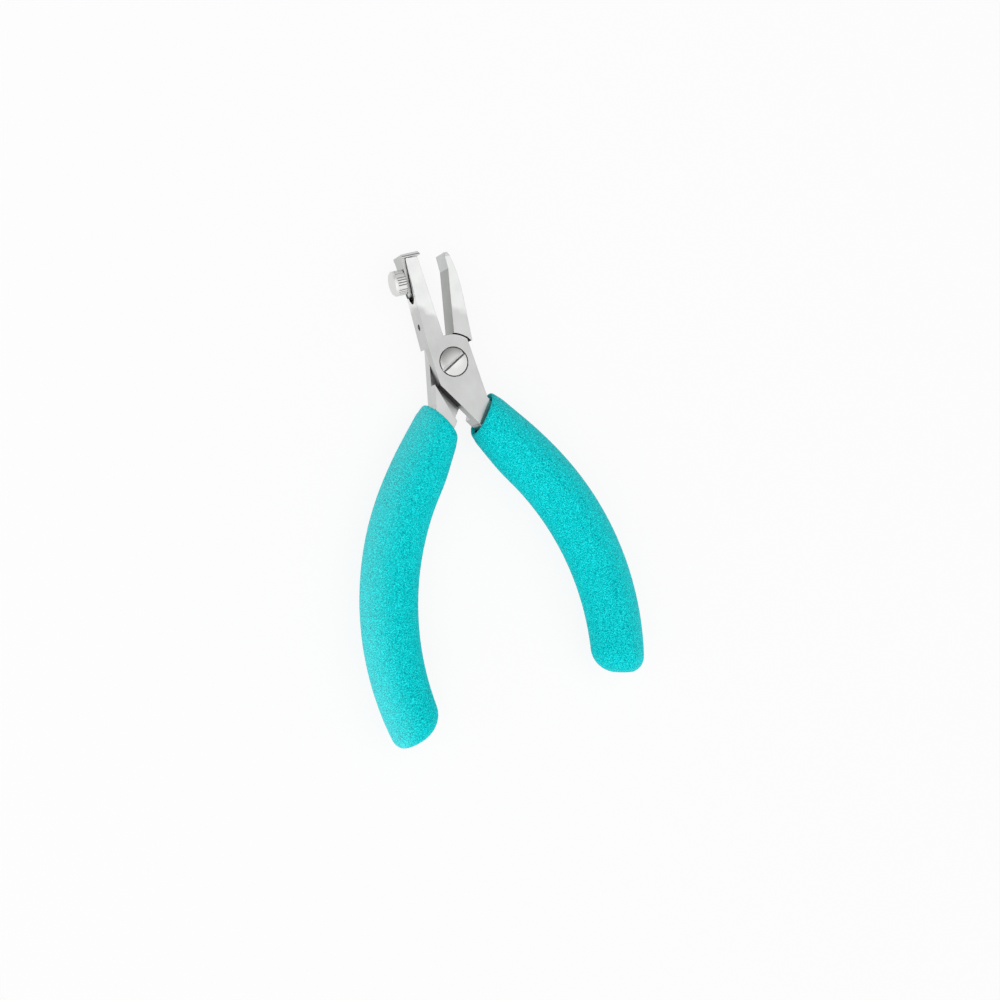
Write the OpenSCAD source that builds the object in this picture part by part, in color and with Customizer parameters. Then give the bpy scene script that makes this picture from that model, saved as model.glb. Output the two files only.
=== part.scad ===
// Flat jaw pliers for bending and trimming component leads.
// Two lap-jointed steel levers turn on a slotted screw, with foam sleeves on the tangs.
// The left jaw carries an adjustable hook blade, held by a knurled thumb screw.
// The origin is on the pivot axis at the back face, +Y points to the jaw tips, +Z to the screw head.

/* [Levers] */
// Thickness of the steel at the joint and the jaws
lever_t = 7; // [5:0.1:9]
// Gap between the two lap faces
lap_gap = 0.06; // [0.02:0.01:0.15]
// Radius of the round end of each lap plate
plate_r = 6.9; // [6:0.1:8]
// Gap between a plate's round end and the shoulder around it
shoulder_gap = 0.3; // [0.2:0.05:0.5]
// Distance from the pivot to the free edge of a plate, at pivot height
plate_free_w = 5.4; // [5:0.1:6]
// Lean of that free edge away from the centre line
plate_free_lean = 8; // [6:0.1:10]
// Distance from the pivot to the edge below the jaw, at pivot height
plate_jaw_w = 5.2; // [5:0.1:6]
// Lean of that edge towards the centre line
plate_jaw_lean = 6.1; // [4:0.1:8]

/* [Left jaw] */
// Distance from the pivot to the jaw tips
jaw_reach = 27.3; // [24:0.1:32]
// Height of the jaws' outer corners above the pivot
jaw_low = 4.5; // [3.5:0.1:5]
// Lean of the left jaw's inner face from the centre line
left_inner_lean = 7.05; // [6:0.05:9]
// Distance of that face from the pivot, at pivot height
left_inner_x = 0.53; // [0.3:0.01:1]
// Lean of the left jaw's outer face from the centre line
left_outer_lean = 3.6; // [3:0.1:5]
// Distance of that face from the pivot, at pivot height
left_outer_x = 5.4; // [5:0.01:6]

/* [Right jaw] */
// Lean of the relieved inner face from the centre line
relief_lean = 6.75; // [5:0.05:8]
// Distance of that face from the pivot, at pivot height
relief_x = 0.69; // [0.4:0.01:1]
// Length of the working flat at the tip
flat_l = 4.1; // [2:0.1:6]
// Lean of the working flat back towards the left jaw
flat_lean = 4; // [2:0.1:6]
// Width of the tip
right_tip_w = 1.05; // [0.8:0.05:1.4]
// Distance from the centre line to the straight part of the outer side
right_outer_x = 5.88; // [5.7:0.01:6.2]
// Radius of the curve from the straight part to the tip
right_outer_r = 35; // [30:1:60]
// Height of the bevel on the front of the tip
tip_bevel_h = 1; // [0.5:0.1:1.5]
// Depth of that bevel
tip_bevel_d = 0.5; // [0.2:0.1:0.8]

/* [Tangs] */
// Angle between a tang's straight part and the centre line
tang_lean = 35.8; // [33:0.1:38]
// Distance from the pivot to the line of a tang's straight part
tang_offset = 3.58; // [3.2:0.01:4]
// Width of a tang
tang_w = 6.4; // [5.5:0.1:7]
// Thickness of a tang inside its sleeve
tang_t = 6; // [4.5:0.1:6.4]
// Distance along the tang from the pivot to the start of its bend
bend_start = 32.3; // [28:0.1:36]
// Radius of the bend
bend_r = 71; // [60:1:90]
// Angle between the centre line and the stop face below the pivot
stop_lean = 21; // [19:0.5:24]
// Distance of the stop face beyond the shoulder's circle
stop_gap = 0.15; // [0:0.05:0.6]

/* [Foam sleeves] */
// Distance along the tang from the pivot to the sleeve's mouth
sleeve_start = 14.5; // [14:0.1:16]
// Length of the right sleeve
right_sleeve_l = 77.4; // [70:0.1:85]
// Length of the left sleeve
left_sleeve_l = 83; // [75:0.1:90]
// Width of a sleeve at its mouth
sleeve_mouth_w = 12.2; // [11:0.1:13]
// Width of a sleeve at its widest
sleeve_w = 14.7; // [13:0.1:16]
// Width of a sleeve at its end
sleeve_end_w = 13.1; // [12.5:0.1:15]
// Share of the length at which a sleeve is widest
sleeve_swell = 0.38; // [0.3:0.01:0.6]
// Thickness of a sleeve, front to back
sleeve_t = 13.6; // [12:0.1:15]
// Rounding of the mouth
mouth_r = 2.4; // [1:0.1:3]
// Slant of the mouth
mouth_slant = 20; // [0:1:24]
// Length over which that slant dies away
slant_l = 15; // [10:1:20]
// Rounding of the closed end
sleeve_end_r = 4.4; // [1.5:0.1:5]
// Foam beyond the end of the tang
sleeve_end_wall = 4; // [3:0.1:6]
// Clearance between a tang and its sleeve
sleeve_clear = 0.1; // [0.05:0.01:0.3]
// Bare length between a lever's thick part and its sleeve
mouth_clear = 0.3; // [0.2:0.05:0.6]

/* [Pivot screw] */
// Diameter of the head
head_d = 7.1; // [6:0.1:8]
// Depth of the head's seat below the front face
seat_depth = 1.6; // [1.2:0.1:2]
// Radial gap around the head
head_gap = 0.2; // [0.1:0.05:0.3]
// Height of the head's dome above the front face
dome_h = 0.55; // [0.3:0.05:0.8]
// Height of the head's rim below the front face
rim_drop = 0.1; // [0:0.05:0.3]
// Width of the slot in the head
slot_w = 0.9; // [0.6:0.05:1.2]
// Depth of that slot below the front face
slot_depth = 0.6; // [0.3:0.05:1]
// Direction of that slot
slot_turn = 31; // [0:1:180]
// Diameter of the plain shank that the front plate turns on
shank_d = 5; // [4.5:0.1:5.4]
// Radial clearance of the front plate on the shank
run_clear = 0.05; // [0.02:0.01:0.1]
// Diameter of the screwed end in the rear plate
thread_d = 4; // [3:0.1:4.4]
// Radial clearance of the screwed ends
thread_clear = 0.02; // [0.01:0.01:0.05]

/* [Return spring] */
// Diameter of the spring wire
wire_d = 0.45; // [0.3:0.05:0.5]
// Radius of the coil at the middle of the wire
coil_r = 3.75; // [3.4:0.05:3.9]
// Turns of the coil
coil_turns = 1.5; // [1.25:0.25:1.75]
// Rise of the coil in one turn
coil_pitch = 0.9; // [0.85:0.05:1]
// Clearance around the wire
wire_clear = 0.1; // [0.08:0.01:0.15]
// Clearance around each leg
leg_clear = 0.06; // [0.03:0.01:0.07]
// Length of each turned-out leg
leg_l = 0.6; // [0.4:0.05:0.8]
// Direction of the leg in the rear plate
leg_turn = 250; // [240:1:260]
// Swing of the leg in the front plate as the pliers close
leg_swing = 15; // [14:0.5:18]
// Swing of the leg in the front plate as the pliers open further
leg_back = 4; // [3:0.5:6]

/* [Hook blade] */
// Thickness of the blade's tapered tongue
tongue_t = 1.4; // [1:0.1:1.8]
// Depth of the groove that holds it
groove_depth = 0.87; // [0.8:0.01:1]
// Distance from the jaw tips down to the middle of the groove's round end
groove_drop = 9.2; // [8.5:0.1:10]
// Radius of the groove's round end
groove_r = 2; // [1.7:0.05:2.4]
// Distance from the groove's end to the tongue's end
tongue_room = 0.7; // [0.5:0.1:1.2]
// Radius of the tongue's round end
tongue_end_r = 1.2; // [1.1:0.05:1.6]
// Gap between the tongue and the groove's floor
tongue_gap = 0.25; // [0.05:0.01:0.3]
// Gap between the tongue's wide end and the groove's sides
tongue_side_gap = 0.25; // [0.1:0.05:0.4]
// Gap between the jaw's tip and the blade's foot
foot_gap = 0.12; // [0.1:0.01:0.5]
// Thickness of the foot
foot_t = 0.95; // [0.7:0.05:1.4]
// Reach of the cutting lip past the jaw's inner face
lip_reach = 0.85; // [0.5:0.05:1.2]
// Length of the bevel behind the lip
lip_bevel = 0.45; // [0.3:0.05:0.8]
// Thickness of the lip's edge
lip_t = 0.25; // [0.1:0.05:0.4]
// Travel of the blade along the jaw
blade_travel = 1.2; // [0.5:0.1:1.6]

/* [Thumb screw] */
// Distance from the jaw tips down to the thumb screw
thumb_drop = 5.3; // [4.8:0.1:5.8]
// Diameter of the head
thumb_d = 6.3; // [5:0.1:7]
// Length of the head
thumb_l = 3.1; // [2:0.1:3.5]
// Chamfer on the head's rim
thumb_chamfer = 0.4; // [0.2:0.05:0.6]
// Number of grooves around the head
knurl_count = 30; // [20:2:36]
// Width of each groove
knurl_w = 0.36; // [0.2:0.02:0.4]
// Depth of each groove
knurl_depth = 0.2; // [0.1:0.01:0.25]
// Plain land under the rim
thumb_land = 0.7; // [0.5:0.05:1]
// Diameter of the screwed end in the jaw
thumb_thread_d = 2; // [1.6:0.1:2.2]
// Length of thread in the jaw
thumb_thread_l = 2.4; // [1.5:0.1:2.6]
// Gap between the screwed end and the sides of the blade's slot
blade_slot_gap = 0.2; // [0.15:0.01:0.3]
// Gap between the head and the blade
thumb_gap = 0.05; // [0.03:0.01:0.1]

/* [Stop screw] */
// Distance from the pivot to the stop screw
stop_screw_y = 10.1; // [9.8:0.1:11]
// Diameter of the stop screw
stop_screw_d = 1.6; // [1.2:0.1:2]
// Depth of the stop screw below the jaw's outer face
stop_screw_sink = 0.5; // [0.3:0.1:1]
// Width of its hexagon socket across the flats
socket_w = 0.7; // [0.5:0.05:0.8]
// Depth of that socket
socket_depth = 0.8; // [0.5:0.1:1]

/* [Hidden] */
$fn = 64;
e = 0.01;
big = 60;

mid_z = lever_t / 2;
lap_back = mid_z - lap_gap / 2;
lap_front = mid_z + lap_gap / 2;
shoulder_r = plate_r + shoulder_gap;
stop_offset = shoulder_r + stop_gap;
thumb_y = jaw_reach - thumb_drop;
groove_low = jaw_reach - groove_drop;

// Points on the leaning straight edges, at height y
function plate_free_x(y) = plate_free_w - tan(plate_free_lean) * y;
function plate_jaw_x(y) = -plate_jaw_w - tan(plate_jaw_lean) * y;
function left_inner(y) = -left_inner_x - tan(left_inner_lean) * y;
function left_outer(y) = -left_outer_x - tan(left_outer_lean) * y;
function relief(y) = relief_x + tan(relief_lean) * y;

// Place along the right tang: u runs along its straight part, v across it towards the centre line
tang_dir = [sin(tang_lean), -cos(tang_lean)];
tang_side = [-cos(tang_lean), -sin(tang_lean)];
function tang_xy(u, v) = tang_dir * u + tang_side * (tang_offset + v);

// The same place with the bend: s is the length along the middle of the tang
function bend_turn(s) = s > bend_start ? (s - bend_start) / bend_r * 180 / PI : 0;
function path_dir(s) = [sin(tang_lean - bend_turn(s)), -cos(tang_lean - bend_turn(s))];
function path_side(s) = [path_dir(s)[1], -path_dir(s)[0]];
function path_xy(s) = s > bend_start
    ? tang_xy(bend_start, bend_r) - path_side(s) * bend_r
    : tang_xy(s, 0);

// Where the lower edge of the jaw side and the free edge run into the tang's two edges
thick_end = sleeve_start - mouth_clear;
bar_lap = 0.5;
corner_u = let (o = tang_side * (tang_offset + tang_w / 2), k = tan(plate_jaw_lean))
    (-plate_jaw_w - o[0] - k * o[1]) / (tang_dir[0] + k * tang_dir[1]);
free_u = let (o = tang_side * (tang_offset - tang_w / 2), k = tan(plate_free_lean))
    (plate_free_w - o[0] - k * o[1]) / (tang_dir[0] + k * tang_dir[1]);

// Plate with a round top end and the thick root of its tang, drawn for the front lever
module plate_outline() {
    intersection() {
        polygon([
            [plate_jaw_x(plate_r), plate_r],
            tang_xy(corner_u, tang_w / 2),
            tang_xy(thick_end + tan(mouth_slant) * tang_w / 2, tang_w / 2),
            tang_xy(thick_end - tan(mouth_slant) * tang_w / 2, -tang_w / 2),
            tang_xy(free_u, -tang_w / 2),
            [plate_free_x(plate_r), plate_r]
        ]);
        union() {
            circle(plate_r);
            translate([-big / 2, -big])
                square([big, big]);
        }
    }
}

// Full thickness root of a tang, cut off at the stop face that leaves room for the other lever
module root_outline() {
    difference() {
        plate_outline();
        rotate(90 - stop_lean)
            translate([-big / 2, -stop_offset])
                square([big, big]);
    }
}

module left_jaw_outline() {
    polygon([
        [left_inner(0), 0],
        [left_inner(jaw_reach), jaw_reach],
        [left_outer(jaw_reach), jaw_reach],
        [left_outer(jaw_low), jaw_low],
        [plate_jaw_x(0), 0]
    ]);
}

// Outer side of the right jaw: straight, then an arc that leans in to the tip
flat_low = jaw_reach - flat_l;
right_tip_x = relief(flat_low) - tan(flat_lean) * flat_l + right_tip_w;
arc_w = right_outer_x - right_tip_x;
arc_low = jaw_reach - sqrt(2 * right_outer_r * arc_w - arc_w * arc_w);

module right_jaw_outline() {
    intersection() {
        polygon([
            [relief(0), 0],
            [relief(flat_low), flat_low],
            [right_tip_x - right_tip_w, jaw_reach],
            [right_outer_x, jaw_reach],
            [right_outer_x, jaw_low],
            [-plate_jaw_x(jaw_low), jaw_low],
            [-plate_jaw_x(0), 0]
        ]);
        union() {
            square([right_outer_x, arc_low]);
            translate([right_outer_x - right_outer_r, arc_low])
                circle(right_outer_r, $fn = 192);
        }
    }
}

// Steel inside the sleeve: a bar that is straight at first, then bent
bend_steps = 24;
module tang_bar(from_s, to_s, grow) {
    half_w = tang_w / 2 + grow;
    slant = tan(mouth_slant) * half_w;
    stops = [for (i = [0 : bend_steps]) bend_start + (to_s - bend_start) * i / bend_steps];
    translate([0, 0, mid_z - tang_t / 2 - grow])
        linear_extrude(tang_t + 2 * grow)
            polygon(concat(
                [tang_xy(from_s + slant, half_w)],
                [for (s = stops) path_xy(s) + path_side(s) * half_w],
                [for (i = [bend_steps : -1 : 0]) path_xy(stops[i]) - path_side(stops[i]) * half_w],
                [tang_xy(from_s - slant, -half_w)]
            ));
}

module spring_seat(depth) {
    difference() {
        cylinder(h = depth, r = coil_r + wire_d / 2 + wire_clear);
        translate([0, 0, -e])
            cylinder(h = depth + 2 * e, r = coil_r - wire_d / 2 - wire_clear);
    }
}

// Depths of the spring's seat in the two lap faces, about half the coil each
coil_h = coil_turns * coil_pitch + wire_d + 2 * wire_clear;
seat_low = mid_z - coil_h / 2;
seat_high = mid_z + coil_h / 2;
leg_high_turn = leg_turn + coil_turns * 360;

module rear_lever() {
    color("silver")
        difference() {
            union() {
                mirror([1, 0, 0]) {
                    linear_extrude(lap_back)
                        plate_outline();
                    translate([0, 0, lap_back - e])
                        linear_extrude(lever_t - lap_back + e)
                            root_outline();
                }
                difference() {
                    linear_extrude(lever_t)
                        right_jaw_outline();
                    translate([0, 0, lap_back])
                        cylinder(h = lever_t, r = shoulder_r);
                    right_tip_bevel();
                }
                mirror([1, 0, 0])
                    tang_bar(thick_end - bar_lap, sleeve_start + left_sleeve_l - sleeve_end_wall, 0);
            }
            translate([0, 0, -e])
                cylinder(h = lever_t, r = thread_d / 2 + thread_clear);
            translate([0, 0, seat_low])
                spring_seat(lever_t);
            rotate(leg_turn)
                translate([coil_r, 0, seat_low - leg_l - wire_clear])
                    cylinder(h = leg_l + coil_h, r = wire_d / 2 + leg_clear, $fn = 24);
        }
}

module right_tip_bevel() {
    translate([0, jaw_reach, lever_t])
        rotate([0, 90, 0])
            linear_extrude(big)
                polygon([
                    [-e, e],
                    [tip_bevel_d, e],
                    [tip_bevel_d, 0],
                    [0, -tip_bevel_h],
                    [-e, -tip_bevel_h]
                ]);
}

module front_lever() {
    color("silver")
        difference() {
            union() {
                translate([0, 0, lap_front])
                    linear_extrude(lever_t - lap_front)
                        plate_outline();
                linear_extrude(lap_front + e)
                    root_outline();
                difference() {
                    linear_extrude(lever_t)
                        left_jaw_outline();
                    translate([0, 0, lap_front - lever_t])
                        cylinder(h = lever_t, r = shoulder_r);
                }
                tang_bar(thick_end - bar_lap, sleeve_start + right_sleeve_l - sleeve_end_wall, 0);
            }
            translate([0, 0, -e])
                cylinder(h = big, r = shank_d / 2 + run_clear);
            translate([0, 0, lever_t - seat_depth])
                cylinder(h = big, r = head_d / 2 + head_gap);
            translate([0, 0, seat_high - lever_t])
                spring_seat(lever_t);
            front_leg_slot();
            on_jaw_side(0)
                blade_groove();
            on_jaw_side(thumb_y)
                translate([0, 0, -tongue_t - thumb_thread_l])
                    cylinder(h = big, r = thumb_thread_d / 2 + thread_clear, $fn = 32);
            on_jaw_side(stop_screw_y)
                translate([0, 0, -big / 2])
                    cylinder(h = big, r = stop_screw_d / 2 + thread_clear, $fn = 32);
        }
}

// The front leg of the spring stays with the rear lever, so its slot follows an arc
module front_leg_slot() {
    slot_r = wire_d / 2 + leg_clear;
    slot_end = slot_r / coil_r * 180 / PI;
    translate([0, 0, lap_front])
        rotate(leg_high_turn - leg_back - slot_end)
            rotate_extrude(angle = leg_swing + leg_back + 2 * slot_end)
                translate([coil_r - slot_r, 0])
                    square([2 * slot_r, seat_high - lap_front + leg_l]);
}

// Frame on the left jaw's outer face at height y: X runs to the tip, Y to the back, Z outwards
module on_jaw_side(y) {
    translate([left_outer(y), y, mid_z])
        rotate([-90, 0, 90 + left_outer_lean])
            children();
}

// Length along the jaw's outer face between two heights
function along_jaw(y) = y / cos(left_outer_lean);
groove_top = along_jaw(jaw_reach) + 2;
groove_end = along_jaw(groove_low);
groove_taper = (mid_z - groove_r) / (along_jaw(jaw_reach) - groove_end);
function groove_half_w(x) = groove_r + groove_taper * (x - groove_end);

module tongue_outline(low, high, end_r, inset) {
    polygon([
        [low, -end_r],
        [low, end_r],
        [high, groove_half_w(high) - inset],
        [high, -groove_half_w(high) + inset]
    ]);
    translate([low, 0])
        circle(end_r);
}

module blade_groove() {
    translate([0, 0, -groove_depth])
        linear_extrude(big)
            tongue_outline(groove_end, groove_top, groove_r, 0);
}

tongue_low = groove_end + tongue_room;
tongue_high = along_jaw(jaw_reach) + foot_gap + foot_t;
tongue_floor = tongue_gap - groove_depth;
foot_low = along_jaw(jaw_reach) + foot_gap;
jaw_tip_w = left_inner(jaw_reach) - left_outer(jaw_reach);
lip_depth = jaw_tip_w / cos(left_outer_lean) + lip_reach;
blade_slot_w = thumb_thread_d + 2 * blade_slot_gap;

module hook_blade() {
    color("gainsboro")
        on_jaw_side(0) {
            difference() {
                translate([0, 0, tongue_floor])
                    linear_extrude(tongue_t)
                        intersection() {
                            tongue_outline(tongue_low, tongue_high, tongue_end_r, tongue_side_gap);
                            translate([0, -mid_z])
                                square([tongue_high, lever_t]);
                        }
                translate([along_jaw(thumb_y), 0, -big / 2])
                    linear_extrude(big) {
                        circle(blade_slot_w / 2);
                        translate([-blade_travel, 0])
                            circle(blade_slot_w / 2);
                        translate([-blade_travel, -blade_slot_w / 2])
                            square([blade_travel, blade_slot_w]);
                    }
            }
            translate([0, mid_z, 0])
                rotate([90, 0, 0])
                    linear_extrude(lever_t)
                        polygon([
                            [foot_low, tongue_floor + tongue_t],
                            [foot_low, -lip_depth],
                            [foot_low + lip_t, -lip_depth],
                            [foot_low + foot_t, -lip_depth + lip_bevel],
                            [foot_low + foot_t, tongue_floor + tongue_t]
                        ]);
        }
}

module thumb_screw() {
    head_low = tongue_floor + tongue_t + thumb_gap;
    color("whitesmoke")
        on_jaw_side(thumb_y) {
            difference() {
                translate([0, 0, head_low])
                    rotate_extrude()
                        polygon([
                            [0, 0],
                            [thumb_d / 2 - thumb_chamfer / 2, 0],
                            [thumb_d / 2, thumb_chamfer / 2],
                            [thumb_d / 2, thumb_l - thumb_chamfer],
                            [thumb_d / 2 - thumb_chamfer, thumb_l],
                            [0, thumb_l]
                        ]);
                for (i = [0 : knurl_count - 1])
                    rotate(i * 360 / knurl_count)
                        translate([thumb_d / 2, 0, head_low - e])
                            linear_extrude(thumb_l - thumb_land)
                                polygon([
                                    [knurl_depth, -knurl_w],
                                    [-knurl_depth, 0],
                                    [knurl_depth, knurl_w]
                                ]);
            }
            translate([0, 0, head_low - tongue_t - thumb_thread_l])
                cylinder(h = tongue_t + thumb_thread_l + e, r = thumb_thread_d / 2, $fn = 32);
        }
}

module stop_screw() {
    stop_screw_l = (left_inner(stop_screw_y) - left_outer(stop_screw_y)) - 2 * stop_screw_sink;
    color("dimgray")
        on_jaw_side(stop_screw_y)
            translate([0, 0, -stop_screw_sink - stop_screw_l])
                difference() {
                    cylinder(h = stop_screw_l, r = stop_screw_d / 2, $fn = 32);
                    translate([0, 0, stop_screw_l - socket_depth])
                        cylinder(h = socket_depth + e, d = socket_w / cos(30), $fn = 6);
                }
}

module pivot_screw() {
    head_r = head_d / 2;
    head_low = lever_t - seat_depth;
    rim_z = lever_t - rim_drop;
    crown = dome_h + rim_drop;
    dome_r = (head_r * head_r + crown * crown) / (2 * crown);
    color("lightgray")
        difference() {
            union() {
                cylinder(h = lap_back, r = thread_d / 2);
                translate([0, 0, lap_back])
                    cylinder(h = head_low - lap_back, r = shank_d / 2);
                translate([0, 0, head_low])
                    intersection() {
                        cylinder(h = seat_depth + dome_h, r = head_r);
                        translate([0, 0, rim_z - head_low + crown - dome_r])
                            sphere(dome_r, $fn = 96);
                    }
            }
            rotate(slot_turn)
                translate([-head_d, -slot_w / 2, lever_t - slot_depth])
                    cube([2 * head_d, slot_w, big]);
        }
}

// Wire of the return spring: its path lies on a cylinder, so each ring has the radius as one axis
coil_rings = 24;
leg_rings = 4;
wire_sides = 8;
coil_low = seat_low + wire_clear + wire_d / 2;
coil_high = coil_low + coil_turns * coil_pitch;
leg_low_end = seat_low - leg_l;
leg_high_end = seat_high + leg_l - wire_clear;
bend_rise = wire_d;
bend_deg = bend_rise / coil_r * 180 / PI;

// Turn and height of the wire's middle, from the end of the rear leg to the end of the front leg
coil_path = concat(
    [[leg_turn, leg_low_end]],
    [for (i = [0 : leg_rings]) let (a = i * 90 / leg_rings)
        [leg_turn + bend_deg * (1 - cos(a)), coil_low - bend_rise * (1 - sin(a))]],
    [for (i = [1 : coil_turns * coil_rings - 1]) let (k = i / (coil_turns * coil_rings))
        [leg_turn + bend_deg + k * (coil_turns * 360 - 2 * bend_deg),
         coil_low + k * (coil_high - coil_low)]],
    [for (i = [leg_rings : -1 : 0]) let (a = i * 90 / leg_rings)
        [leg_high_turn - bend_deg * (1 - cos(a)), coil_high + bend_rise * (1 - sin(a))]],
    [[leg_high_turn, leg_high_end]]
);
function coil_xyz(p) = [coil_r * cos(p[0]), coil_r * sin(p[0]), p[1]];
function unit(v) = v / norm(v);
function wire_ring(i) =
    let (
        here = coil_xyz(coil_path[i]),
        before = coil_xyz(coil_path[max(i - 1, 0)]),
        after = coil_xyz(coil_path[min(i + 1, len(coil_path) - 1)]),
        out = [cos(coil_path[i][0]), sin(coil_path[i][0]), 0],
        across = unit(cross(unit(after - before), out))
    )
    [for (j = [0 : wire_sides - 1]) let (a = j * 360 / wire_sides)
        here + (out * cos(a) + across * sin(a)) * wire_d / 2];

// Skin over rings of equal count, closed at both ends
module skin(rings) {
    n = len(rings[0]);
    last = len(rings) - 1;
    points = [for (ring = rings) each ring];
    sides = [for (i = [0 : last - 1], j = [0 : n - 1])
        let (a = i * n + j, b = i * n + (j + 1) % n)
        each [[a, b, b + n], [a, b + n, a + n]]];
    low_cap = [for (j = [1 : n - 2]) [0, j + 1, j]];
    high_cap = [for (j = [1 : n - 2]) [last * n, last * n + j, last * n + j + 1]];
    polyhedron(points, concat(sides, low_cap, high_cap));
}

module return_spring() {
    color("slategray")
        skin([for (i = [0 : len(coil_path) - 1]) wire_ring(i)]);
}

// Foam sleeve: oval rings along the tang, wider past the mouth and narrower at the end
sleeve_sides = 28;
sleeve_rings = 26;
round_steps = 4;
function sleeve_half_w(k) =
    let (
        near = k < sleeve_swell,
        share = near ? 1 - k / sleeve_swell : (k - sleeve_swell) / (1 - sleeve_swell),
        end_w = near ? sleeve_mouth_w : sleeve_end_w
    )
    (sleeve_w - (sleeve_w - end_w) * share * share) / 2;
function sleeve_slant(l) = tan(mouth_slant) * max(0, 1 - l / slant_l);
function sleeve_ring(l, half_w, half_t) =
    [for (j = [0 : sleeve_sides - 1])
        let (
            a = j * 360 / sleeve_sides,
            across = half_w * cos(a),
            s = sleeve_start + l,
            p = path_xy(s) + path_side(s) * across + path_dir(s) * across * sleeve_slant(l)
        )
        [p[0], p[1], mid_z + half_t * sin(a)]];

module sleeve(length) {
    body_l = length - mouth_r - sleeve_end_r;
    bore_end = sleeve_start + length - sleeve_end_wall + sleeve_clear;
    // Length along the sleeve and inset of each ring
    stations = concat(
        [for (i = [0 : round_steps - 1]) let (a = i * 90 / round_steps)
            [mouth_r * (1 - cos(a)), mouth_r * (1 - sin(a))]],
        [for (i = [0 : sleeve_rings]) [mouth_r + body_l * i / sleeve_rings, 0]],
        [for (i = [round_steps - 1 : -1 : 0]) let (a = i * 90 / round_steps)
            [length - sleeve_end_r * (1 - cos(a)), sleeve_end_r * (1 - sin(a))]]
    );
    difference() {
        skin([for (p = stations)
            sleeve_ring(p[0], sleeve_half_w(p[0] / length) - p[1], sleeve_t / 2 - p[1])]);
        tang_bar(thick_end, bore_end, sleeve_clear);
    }
}

module right_sleeve() {
    color("turquoise")
        sleeve(right_sleeve_l);
}

module left_sleeve() {
    color("turquoise")
        mirror([1, 0, 0])
            sleeve(left_sleeve_l);
}

rear_lever();
front_lever();
pivot_screw();
return_spring();
left_sleeve();
right_sleeve();
hook_blade();
thumb_screw();
stop_screw();
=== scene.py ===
"""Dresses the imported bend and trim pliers: ground steel levers, foam sleeves and the clamped hook blade."""

import logging
import math
from collections.abc import Callable
from dataclasses import dataclass
from enum import Enum

import bpy
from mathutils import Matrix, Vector


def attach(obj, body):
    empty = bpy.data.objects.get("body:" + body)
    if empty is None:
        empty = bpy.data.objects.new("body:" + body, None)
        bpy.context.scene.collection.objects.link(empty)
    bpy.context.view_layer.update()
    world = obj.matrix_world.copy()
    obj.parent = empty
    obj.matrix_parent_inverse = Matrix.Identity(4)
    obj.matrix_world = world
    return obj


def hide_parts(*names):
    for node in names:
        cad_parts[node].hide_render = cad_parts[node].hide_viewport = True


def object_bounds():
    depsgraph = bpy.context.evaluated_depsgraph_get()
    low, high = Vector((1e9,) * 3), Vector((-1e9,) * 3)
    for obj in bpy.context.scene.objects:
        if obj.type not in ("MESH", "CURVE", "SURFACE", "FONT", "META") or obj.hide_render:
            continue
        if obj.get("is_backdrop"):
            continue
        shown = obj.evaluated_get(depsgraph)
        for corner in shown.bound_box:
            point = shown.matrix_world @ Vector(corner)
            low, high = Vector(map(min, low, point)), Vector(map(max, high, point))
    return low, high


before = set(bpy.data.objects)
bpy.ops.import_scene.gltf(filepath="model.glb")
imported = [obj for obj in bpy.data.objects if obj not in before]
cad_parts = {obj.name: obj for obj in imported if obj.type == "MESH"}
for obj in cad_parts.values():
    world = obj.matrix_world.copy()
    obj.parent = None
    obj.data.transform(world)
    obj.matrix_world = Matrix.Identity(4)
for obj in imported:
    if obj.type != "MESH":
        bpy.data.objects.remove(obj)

MM = 0.001
OUTER_SIDE = "outer_side"
NOISE_LOW = 0.3
NOISE_HIGH = 0.7
LOG = logging.getLogger("pliers")

Colour = tuple[float, float, float]


class Side(Enum):
    """Which handle a sleeve is on, by the sign of its X."""

    LEFT = -1
    RIGHT = 1


class Body(Enum):
    """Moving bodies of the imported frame."""

    REAR = "rear"
    FRONT = "front"
    HOOK = "hook"
    THUMB = "thumb"


class Grain(Enum):
    """How much each axis of a grinding pattern is stretched."""

    ALONG_JAW = (1.0, 0.05, 1.0)
    ALONG_BLADE = (0.08, 1.0, 1.0)
    EVEN = (1.0, 1.0, 1.0)


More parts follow.
